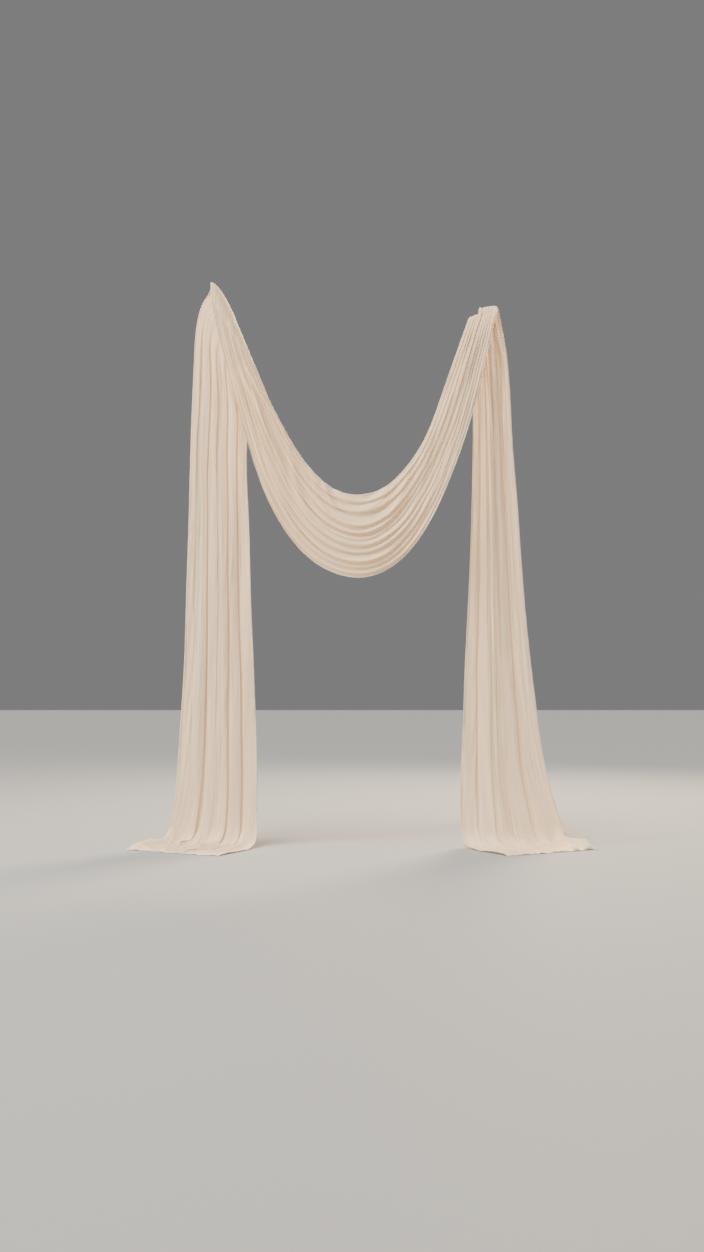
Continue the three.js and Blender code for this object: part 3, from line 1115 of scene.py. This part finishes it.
class Bench:
    """One material in the making."""

    def __init__(self, name: str) -> None:
        """Starts a node material that knows where on the cloth it is.

        Args:
            name: Name of the material.
        """
        self.material = bpy.data.materials.new(name)
        self.material.use_nodes = True
        self.tree = self.material.node_tree
        self.tree.nodes.clear()
        self.pattern = self.add("ShaderNodeUVMap", {"uv_map": "Cloth"}).outputs[0]
        parts = self.add("ShaderNodeSeparateXYZ", {}, {0: self.pattern})
        self.along = Signal(self, parts.outputs[1])

    def add(
        self,
        kind: str,
        settings: Optional[dict[str, Any]] = None,
        inputs: Optional[dict[Union[int, str], Any]] = None,
    ) -> bpy.types.Node:
        """Adds a node.

        Args:
            kind: Type of the node.
            settings: Properties, set before the sockets.
            inputs: Value or link of each socket, by number or name.

        Returns:
            The node.
        """
        node = self.tree.nodes.new(kind)
        for key, value in (settings or {}).items():
            setattr(node, key, value)
        for key, value in (inputs or {}).items():
            if isinstance(value, Signal):
                value = value.socket
            if isinstance(value, bpy.types.NodeSocket):
                self.tree.links.new(value, node.inputs[key])
            else:
                node.inputs[key].default_value = value
        return node

    def math(self, kind: str, first: Number, second: Number) -> Signal:
        """Adds a Math node on two values."""
        node = self.add("ShaderNodeMath", {"operation": kind}, {0: first, 1: second})
        return Signal(self, node.outputs[0])

    def noise(self, grain: Grain) -> Signal:
        """Adds noise over the cloth.

        Args:
            grain: How fine it is.

        Returns:
            Values about 0.5.
        """
        scale = (grain.across, grain.along, 1.0)
        scaled = self.add("ShaderNodeMapping", {}, {0: self.pattern, 3: scale})
        inputs = {"Vector": scaled.outputs[0], "Scale": 1.0, "Detail": grain.detail}
        inputs["Roughness"] = grain.rough
        node = self.add("ShaderNodeTexNoise", {"noise_dimensions": "2D"}, inputs)
        return Signal(self, node.outputs[0])

    def blend(self, share: Number, first: Any, second: Any) -> bpy.types.NodeSocket:
        """Mixes two colours, each a tuple or a socket."""
        settings = {"data_type": "RGBA", "blend_type": "MIX"}
        return self.add("ShaderNodeMix", settings, {0: share, 6: first, 7: second}).outputs[2]

    def mix(
        self, share: Number, first: bpy.types.NodeSocket, second: bpy.types.NodeSocket
    ) -> bpy.types.NodeSocket:
        """Mixes two shaders."""
        return self.add("ShaderNodeMixShader", {}, {0: share, 1: first, 2: second}).outputs[0]

    def woven(
        self,
        front: bpy.types.NodeSocket,
        back: bpy.types.NodeSocket,
        rough: Signal,
        relief: Signal,
        sheen: float,
        through: float,
    ) -> bpy.types.NodeSocket:
        """Adds matte cloth that lets light through.

        Args:
            front: Colour of light that it throws back.
            back: Colour of light that comes through it.
            rough: Roughness.
            relief: Height of its threads and crinkles, for the bump.
            sheen: Weight of its fuzz.
            through: Share of light that comes through.

        Returns:
            The shader.
        """
        bump_inputs = {"Strength": 0.3, "Distance": 0.0015, "Height": relief}
        normal = self.add("ShaderNodeBump", {}, bump_inputs).outputs[0]
        inputs = {"Base Color": front, "Roughness": rough, "Normal": normal}
        inputs |= {"Specular IOR Level": 0.28, "Sheen Weight": sheen, "Sheen Roughness": 0.45}
        face = self.add("ShaderNodeBsdfPrincipled", {}, inputs)
        behind = self.add("ShaderNodeBsdfTranslucent", {}, {"Color": back, "Normal": normal})
        return self.mix(through, face.outputs[0], behind.outputs[0])

    def finish(self, shader: bpy.types.NodeSocket) -> bpy.types.Material:
        """Ends the material in a shader."""
        self.add("ShaderNodeOutputMaterial", {}, {0: shader})
        return self.material


Colour = tuple[float, float, float, float]


@dataclass(frozen=True)
class Chiffon:
    """Matte half-sheer chiffon: warm ivory with a trace of blush, fine threads and soft crinkles.

    Attributes:
        ivory, blush, cream: Colour of most of the cloth, and two that drift over it.
        thread, glow: Colour of the threads and of painted shade along the long soft creases, and
            tint of light that comes through.
        through, sheer: Share of light that comes through scattered, and straight.
        drift, warm: Grains of the blush and of the cream.
        streak, slub: Grains of the threads along the cloth and of the thick ones across it.
        crinkle, crease: Grains of the crinkles and of the long soft creases.
    """

    name: str = "chiffon"
    ivory: Colour = (0.925, 0.730, 0.494, 1.0)
    blush: Colour = (0.925, 0.690, 0.480, 1.0)
    cream: Colour = (0.930, 0.750, 0.497, 1.0)
    thread_and_crease_shade: Colour = (0.770, 0.620, 0.465, 1.0)
    glow: Colour = (0.950, 0.790, 0.600, 1.0)
    roughness: float = 0.72
    through: float = 0.20
    sheer: float = 0.060
    sheen: float = 0.12
    drift: Grain = Grain(2.2, 0.55, 3.0)
    warm: Grain = Grain(1.3, 0.8, 2.0)
    streak: Grain = Grain(150.0, 2.2, 4.0, 0.62)
    slub: Grain = Grain(9.0, 420.0, 2.0)
    crinkle: Grain = Grain(38.0, 6.0, 2.0, 0.4)
    crease: Grain = Grain(30.0, 0.7, 2.0, 0.45)

    def build(self) -> bpy.types.Material:
        """Makes the material.

        Returns:
            The material.
        """
        bench = Bench(self.name)
        drift, warm = bench.noise(self.drift), bench.noise(self.warm)
        streak, slub = bench.noise(self.streak), bench.noise(self.slub)
        crinkle, crease = bench.noise(self.crinkle), bench.noise(self.crease)
        colour = bench.blend((drift * 2.6 - 0.95).clamped(0.0, 1.0), self.ivory, self.blush)
        colour = bench.blend((warm * 2.4 - 1.0).clamped(0.0, 0.8), colour, self.cream)
        # Mask of the threads' darker tone, which also paints shade along the long soft creases.
        crease_shade_and_thread_mask = (0.35 * streak + 0.20 * slub + 0.45 * crease - 0.40) * 2.2
        colour = bench.blend(crease_shade_and_thread_mask.clamped(0.0, 0.45), colour, self.thread_and_crease_shade)
        back = bench.blend(0.35, colour, self.glow)
        rough = (self.roughness + 0.16 * (crinkle - 0.5)).clamped(0.5, 0.9)
        relief = 0.50 * crinkle + 0.80 * crease + 0.10 * streak + 0.05 * slub
        cloth = bench.woven(colour, back, rough, relief, self.sheen, self.through)
        clear = bench.add("ShaderNodeBsdfTransparent").outputs[0]
        gaps = (self.sheer + 0.09 * (1.0 - crease_shade_and_thread_mask * 2.0 - 0.45)).clamped(0.02, 0.2)
        return bench.finish(bench.mix(gaps, cloth, clear))


@dataclass(frozen=True)
class StitchedHem:
    """The same chiffon folded twice and stitched: denser, with a stitch line.

    Attributes:
        cloth, shade, stitch: Colour of most of the hem, of its threads and of the stitches.
        through: Share of light that comes through, scattered.
        stitch_length, stitch_pitch: Length of a stitch and distance to the next, in metres.
        streak, slub, pucker: Grains of the threads, as above, and of what the stitches pull up.
    """

    name: str = "stitched_hem"
    cloth: Colour = (0.880, 0.735, 0.560, 1.0)
    shade: Colour = (0.800, 0.645, 0.480, 1.0)
    stitch: Colour = (0.900, 0.790, 0.640, 1.0)
    roughness: float = 0.74
    through: float = 0.16
    sheen: float = 0.2
    stitch_length: float = 0.0032
    stitch_pitch: float = 0.0042
    streak: Grain = Grain(120.0, 9.0, 4.0, 0.6)
    slub: Grain = Grain(14.0, 380.0, 2.0)
    pucker: Grain = Grain(30.0, 70.0, 3.0)

    def build(self) -> bpy.types.Material:
        """Makes the material.

        Returns:
            The material.
        """
        bench = Bench(self.name)
        streak, slub = bench.noise(self.streak), bench.noise(self.slub)
        pucker = bench.noise(self.pucker)
        share = self.stitch_length / self.stitch_pitch
        dash = 1.0 - ((bench.along / self.stitch_pitch).wrapped() > share)
        colour = bench.blend((streak * 1.8 - 0.6).clamped(0.0, 0.7), self.cloth, self.shade)
        colour = bench.blend(0.25 * dash, colour, self.stitch)
        rough = (self.roughness + 0.12 * (pucker - 0.5)).clamped(0.55, 0.9)
        relief = 0.5 * pucker + 0.1 * streak + 0.04 * slub + 0.08 * dash
        return bench.finish(
            bench.woven(colour, colour, rough, relief, self.sheen, self.through)
        )


@dataclass(frozen=True)
class Hem:
    """A narrow hem along an edge of the cloth: a flat closed tube round the folded edge.

    Attributes:
        name: Name of the piece.
        rows: First and last row that it runs along.
        columns: First and last column that it covers.
        replaces: CAD nodes that it stands for.
        along_rows: False for a hem across the end of the cloth.
        thickness: Half thickness of the folded cloth.
        thinned: Share of it that is left at the hem's two lines.
    """

    name: str
    rows: tuple[int, int]
    columns: tuple[int, int]
    replaces: tuple[str, ...]
    along_rows: bool = True
    thickness: float = 0.0011
    thinned: float = 0.55

    def build(self, cloth: Cloth) -> bpy.types.Object:
        """Makes the hem's mesh.

        The ring runs over the outer face from the inner line to the edge and back over the inner
        face. Both faces stand off the cloth by the half thickness, less at the two lines.

        Args:
            cloth: The worked-out cloth.

        Returns:
            The hem's object.
        """
        rows = slice(self.rows[0], self.rows[1] + 1)
        columns = slice(self.columns[0], self.columns[1] + 1)
        points = cloth.points[rows, columns]
        normals = cloth.normals[rows, columns]
        across = cloth.across[rows, columns]
        along = np.broadcast_to(cloth.rows[rows][:, None], across.shape)
        if not self.along_rows:
            points, normals = points.transpose(1, 0, 2), normals.transpose(1, 0, 2)
            along, across = across.T, along.T
        puff = np.ones(points.shape[1])
        puff[[0, -1]] = self.thinned
        lift = normals * (self.thickness * puff)[None, :, None]
        ring = np.concatenate([points + lift, (points - lift)[:, ::-1]], axis=1)
        ring[..., 2] = np.maximum(ring[..., 2], GROUND + 0.2 * MM)
        across = np.concatenate([across, across[:, ::-1]], axis=1)
        along = np.concatenate([along, along[:, ::-1]], axis=1)
        piece = grid_mesh(self.name, ring, across, along, closed=True)
        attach(piece, BODY)
        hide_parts(*self.replaces)
        LOG.info("hem %s: %d faces", self.name, len(piece.data.polygons))
        return piece


@dataclass(frozen=True)
class Sheet:
    """A stretch of the cloth between two rows, with its hems.

    Attributes:
        name: Name of the piece.
        rows: First and last row.
        held: How it is held; not used.
        rests_on: What it lies on or hangs from; not used.
        replaces: CAD nodes that it stands for.
        hems: The hems on it.
    """

    name: str
    rows: tuple[int, int]
    held: Hanging
    rests_on: tuple[str, ...]
    replaces: tuple[str, ...]
    hems: tuple[Hem, ...]

    def build(self, cloth: Cloth, chiffon: bpy.types.Material, hemmed: bpy.types.Material) -> None:
        """Args:
            cloth: The worked-out cloth.
            chiffon: Finish of the sheet.
            hemmed: Finish of its hems.
        """
        rows, columns = slice(self.rows[0], self.rows[1] + 1), slice(1, -1)
        piece = grid_mesh(
            self.name,
            cloth.points[rows, columns],
            cloth.across[rows, columns],
            cloth.rows[rows][:, None],
            cloth.normals[rows, columns],
        )
        piece.data.materials.append(chiffon)
        made = []
        for hem in self.hems:
            made.append(hem.build(cloth))
            made[-1].data.materials.append(hemmed)
        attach(piece, BODY)
        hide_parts(*self.replaces)


class Drape:
    """The whole drape: the cloth, its three sheets and their hems."""

    def __init__(self) -> None:
        """Works out the cloth and lists its sheets."""
        self.cloth = Cloth()
        last = len(self.cloth.rows) - 1
        left_cut, right_cut = self.cloth.cuts
        self.sheets = [
            self._tail("left", (0, left_cut), (0, 2)),
            self._swag((left_cut, right_cut)),
            self._tail("right", (right_cut, last), (last - 2, last)),
        ]

    def _side_columns(self) -> dict[str, tuple[int, int]]:
        """First and last column of the outer and the inner hem."""
        wide, last = self.cloth.plan.hem_columns, self.cloth.shares.shape[1] - 1
        return {"outer": (0, wide), "inner": (last - wide, last)}

    def _tail(self, side: str, rows: tuple[int, int], end_rows: tuple[int, int]) -> Sheet:
        """Lists a tail with its train.

        Args:
            side: "left" or "right".
            rows: First and last row.
            end_rows: First and last row of the hem across the cloth's end.

        Returns:
            The tail's sheet.
        """
        columns = self._side_columns()
        hems = [
            Hem(f"{side}_{edge}_edge", rows, columns[edge], (f"{side}_tail_{edge}_hem",))
            for edge in ("outer", "inner")
        ]
        between = (columns["outer"][1], columns["inner"][0])
        hems.append(Hem(f"{side}_end_edge", end_rows, between, (f"{side}_end_hem",), False))
        parts = ("train", "tail_lower", "tail_middle", "tail_upper")
        nodes = tuple(f"{side}_{part}" for part in parts)
        rests = ("ground", f"{side} limb")
        return Sheet(f"{side}_tail_cloth", rows, Hanging.HUNG, rests, nodes, tuple(hems))

    def _swag(self, rows: tuple[int, int]) -> Sheet:
        """Lists the swag with the two saddles.

        Args:
            rows: First and last row.

        Returns:
            The swag's sheet.
        """
        columns = self._side_columns()
        hems = (
            Hem("swag_lower_edge", rows, columns["outer"], ("swag_lower_hem",)),
            Hem("swag_upper_edge", rows, columns["inner"], ("swag_upper_hem",)),
        )
        parts = ("left_leg", "left_bend", "belly", "right_bend", "right_leg")
        nodes = tuple(f"swag_{part}" for part in parts) + ("left_limb_saddle", "right_limb_saddle")
        return Sheet("swag_cloth", rows, Hanging.DRAPED, ("left limb", "right limb"), nodes, hems)

    def build(self) -> None:
        """Makes every piece."""
        chiffon, hemmed = Chiffon().build(), StitchedHem().build()
        for sheet in self.sheets:
            sheet.build(self.cloth, chiffon, hemmed)
        cloth = self.cloth
        LOG.info("cloth %.2f m long, %d rows, %d columns", cloth.length, *cloth.shares.shape)
        LOG.info("sharpest fold %.2f rad", cloth.sharpness.max())
        LOG.info("drawn in to %.2f", cloth.drawn_in.min())


class Glow(Enum):
    """Kind of lamp: a wide far light or a soft square one."""

    FAR = "SUN"
    SQUARE = "AREA"


@dataclass(frozen=True)
class Lamp:
    """A soft light.

    Attributes:
        place, aim: Where it hangs, and the point that it shines at.
        size: Side of a square light in metres, or the angle that a far light fills, in radians.
        power: Watts, or for a far light watts per square metre.
    """

    name: str
    kind: Glow
    place: tuple[float, float, float]
    size: float
    power: float
    colour: tuple[float, float, float]
    aim: tuple[float, float, float] = (1.38, 0.0, -2.4)

    def build(self) -> None:
        """Hangs the light and turns it to its aim."""
        data = bpy.data.lights.new(self.name, self.kind.value)
        data.energy, data.color = self.power, self.colour
        if self.kind is Glow.FAR:
            data.angle = self.size
        else:
            data.shape, data.size = "SQUARE", self.size
        lamp = add_object(self.name, data)
        from_aim = np.array(self.place) - np.array(self.aim)
        lamp.location = self.place
        lamp.rotation_euler = Vector(from_aim.tolist()).to_track_quat("Z", "Y").to_euler()


@dataclass(frozen=True)
class Studio:
    """Plain pale floor with half its side in metres, even room light and soft lamps."""

    floor_colour: Colour = (0.30, 0.31, 0.32, 1.0)
    floor_roughness: float = 0.9
    floor_reach: float = 400.0
    room_colour: Colour = (0.43, 0.43, 0.43, 1.0)
    room_strength: float = 0.48
    lamps: tuple[Lamp, ...] = (
        Lamp("day", Glow.FAR, (-3.4, -7.0, 13.0), 0.5, 5.6, (1.0, 0.942, 0.842)),
        Lamp("key", Glow.SQUARE, (-10.0, -5.0, 3.0), 4.0, 1900.0, (1.0, 0.93, 0.83)),
        Lamp("back", Glow.SQUARE, (6.0, 8.0, 4.5), 4.5, 3800.0, (1.0, 0.76, 0.50)),
    )

    def build(self) -> None:
        """Makes the floor, the room light and the lamps."""
        reach = self.floor_reach
        ring = ((-reach, -reach), (reach, -reach), (reach, reach), (-reach, reach))
        mesh = bpy.data.meshes.new("floor")
        mesh.from_pydata([(x, y, GROUND) for x, y in ring], [], [(0, 1, 2, 3)])
        floor = add_object("floor", mesh)
        material = bpy.data.materials.new("floor_paint")
        material.use_nodes = True
        paint = material.node_tree.nodes["Principled BSDF"]
        paint.inputs["Base Color"].default_value = self.floor_colour
        paint.inputs["Roughness"].default_value = self.floor_roughness
        mesh.materials.append(material)
        world = bpy.data.worlds.new("room")
        world.use_nodes = True
        sky = world.node_tree.nodes["Background"]
        sky.inputs["Color"].default_value = self.room_colour
        sky.inputs["Strength"].default_value = self.room_strength
        bpy.context.scene.world = world
        for lamp in self.lamps:
            lamp.build()


@dataclass(frozen=True)
class Viewpoint:
    """The camera of the photograph: level, with a small upward shift.

    Attributes:
        eye: Its place, in metres from the ground below the middle of the swag.
        focal_pixels, horizon: Focal length, and horizon from the top, in pixels of the picture.
        picture, sensor: Width and height in pixels, and longer side in millimetres.
    """

    eye: tuple[float, float, float] = (-0.105, -11.158, 1.547)
    focal_pixels: float = 1060.0
    horizon: float = 702.0
    picture: tuple[int, int] = (704, 1252)
    sensor: float = 36.0
    clip_end: float = 200.0

    def build(self) -> None:
        """Makes the scene's camera."""
        data = bpy.data.cameras.new("photograph")
        tall = self.picture[1]
        data.sensor_fit, data.sensor_width = "AUTO", self.sensor
        data.lens = self.focal_pixels * self.sensor / tall
        data.shift_y = (self.horizon - tall / 2) / tall
        data.dof.use_dof = False
        data.clip_end = self.clip_end
        camera = add_object("photograph", data)
        camera.location = (np.array(self.eye) - SEAT_CENTRE).tolist()
        camera.rotation_euler = (np.pi / 2, 0.0, 0.0)
        bpy.context.scene.camera = camera


def main() -> None:
    """Builds the camera, the drape and the studio in order."""
    logging.basicConfig(level=logging.INFO, format="%(name)s: %(message)s")
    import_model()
    Viewpoint().build()
    Drape().build()
    Studio().build()


if __name__ == "__main__":
    main()
